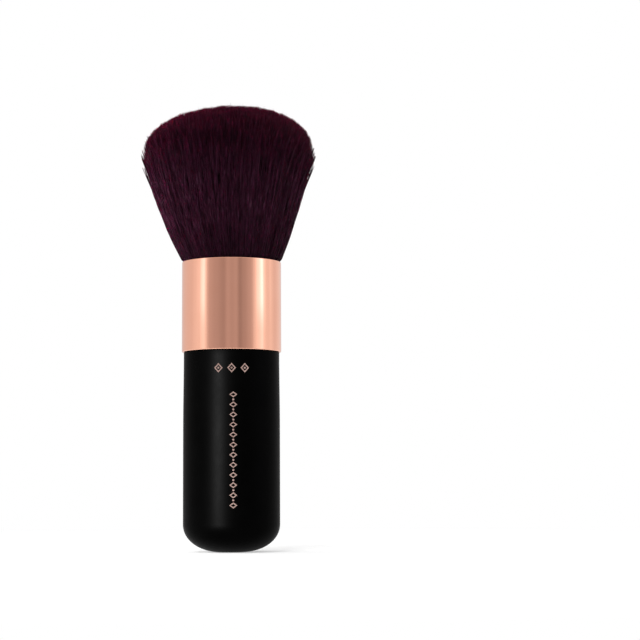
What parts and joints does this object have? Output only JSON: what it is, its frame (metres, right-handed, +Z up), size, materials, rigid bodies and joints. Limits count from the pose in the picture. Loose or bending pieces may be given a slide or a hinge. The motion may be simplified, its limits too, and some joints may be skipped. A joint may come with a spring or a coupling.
{
  "type": "powder brush",
  "caption": "Short powder brush: a domed tuft of synthetic filaments in a polished metal ferrule on a round black handle.",
  "frame": {"origin": "centre of the small flat on the foot of the handle, on which the brush stands", "axes": "+Z up the handle's axis to the crown of the tuft, -Y the front, +X to the viewer's right"},
  "size_m": [0.0425, 0.0427, 0.1094],
  "materials": {
    "handle": "satin black lacquer over turned wood",
    "ferrule": "polished rose gold anodising",
    "adhesive": "cured clear adhesive",
    "resin": "amber potting resin",
    "thread": "waxed undyed thread",
    "bristles": "soft synthetic filament, near-black plum with wine red tips"
  },
  "bodies": {
    "root": {"handle": "handle", "ferrule": "ferrule", "adhesive_bead_1": "adhesive", "adhesive_bead_2": "adhesive", "potting_plug": "resin", "root_thread": "thread", "bristle_tuft": "bristles"}
  },
  "joints": []
}
